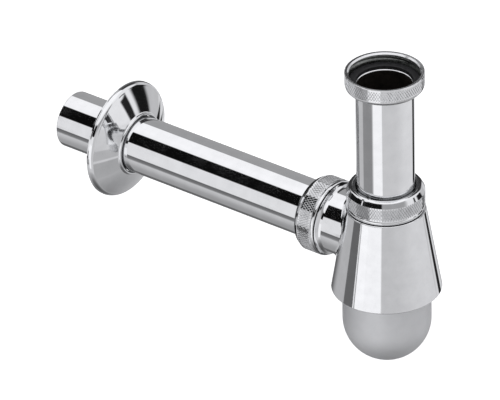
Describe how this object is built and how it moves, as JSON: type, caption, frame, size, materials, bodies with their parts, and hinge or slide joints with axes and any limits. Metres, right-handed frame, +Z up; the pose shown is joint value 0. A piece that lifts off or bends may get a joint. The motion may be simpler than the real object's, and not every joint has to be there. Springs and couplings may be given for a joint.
{
  "type": "bidet bottle trap",
  "caption": "Bottle trap with a threaded inlet union, a sliding dip tube, a bell body with side branch, a round screw-in cup, and a wall tube with a sliding flange.",
  "frame": {"origin": "middle of the inlet gasket's upper face, on the inlet thread's axis", "axes": "+Z up along the inlet tube, +Y along the outlet tube towards the wall, +X to the right seen with the wall behind"},
  "size_m": [0.0666, 0.2473, 0.1788],
  "materials": {
    "polished_chrome": "polished plate on turned brass",
    "satin_chrome": "satin plate",
    "black_rubber": "matt",
    "natural_plastic": "smooth"
  },
  "bodies": {
    "inlet_union": {"inlet_nut": "polished_chrome", "inlet_gasket": "black_rubber"},
    "dip_tube": {"inlet_tube": "polished_chrome"},
    "trap": {"trap_body": "polished_chrome", "neck_seal": "black_rubber", "outlet_seal": "black_rubber"},
    "neck_ring": {"neck_slip_ring": "natural_plastic"},
    "neck_collar_nut": {"neck_nut": "polished_chrome"},
    "outlet_ring": {"outlet_slip_ring": "natural_plastic"},
    "outlet_collar_nut": {"outlet_nut": "polished_chrome"},
    "wall_tube": {"outlet_tube": "polished_chrome"},
    "flange": {"wall_flange": "polished_chrome"},
    "cup_ring": {"cup_seal": "black_rubber"},
    "cup_body": {"cup": "satin_chrome"}
  },
  "joints": [
    {"name": "trap_swivel", "type": "hinge", "parent": "inlet_union", "child": "dip_tube", "pos_m": [0, 0, 0], "axis": [0, 0, 1], "continuous": true},
    {"name": "trap_height", "type": "slide", "parent": "dip_tube", "child": "trap", "axis": [0, 0, 1], "range_m": [-0.025, 0.004]},
    {"name": "neck_ring_lift", "type": "slide", "parent": "trap", "child": "neck_ring", "axis": [0, 0, 1], "range_m": [0, 0.006]},
    {"name": "neck_nut_turn", "type": "hinge", "parent": "neck_ring", "child": "neck_collar_nut", "pos_m": [0, 0, -0.072], "axis": [0, 0, 1], "range_deg": [0, 1080]},
    {"name": "outlet_ring_shift", "type": "slide", "parent": "trap", "child": "outlet_ring", "axis": [0, 1, 0], "range_m": [0, 0.006]},
    {"name": "outlet_nut_turn", "type": "hinge", "parent": "outlet_ring", "child": "outlet_collar_nut", "pos_m": [0, 0.041, -0.099], "axis": [0, 1, 0], "range_deg": [0, 1080]},
    {"name": "wall_tube_slide", "type": "slide", "parent": "trap", "child": "wall_tube", "axis": [0, 1, 0], "range_m": [-0.004, 0.012]},
    {"name": "flange_slide", "type": "slide", "parent": "wall_tube", "child": "flange", "axis": [0, 1, 0], "range_m": [-0.11, 0.025]},
    {"name": "cup_seal_drop", "type": "slide", "parent": "trap", "child": "cup_ring", "axis": [0, 0, 1], "range_m": [-0.006, 0]},
    {"name": "cup_turn", "type": "hinge", "parent": "cup_ring", "child": "cup_body", "pos_m": [0, 0, -0.148], "axis": [0, 0, 1], "range_deg": [-1080, 0]}
  ],
  "couplings": [
    {"joint": "neck_ring_lift", "follows": "neck_nut_turn", "m_per_rad": 0.0003183},
    {"joint": "outlet_ring_shift", "follows": "outlet_nut_turn", "m_per_rad": 0.0003183},
    {"joint": "cup_seal_drop", "follows": "cup_turn", "m_per_rad": 0.0003183}
  ]
}
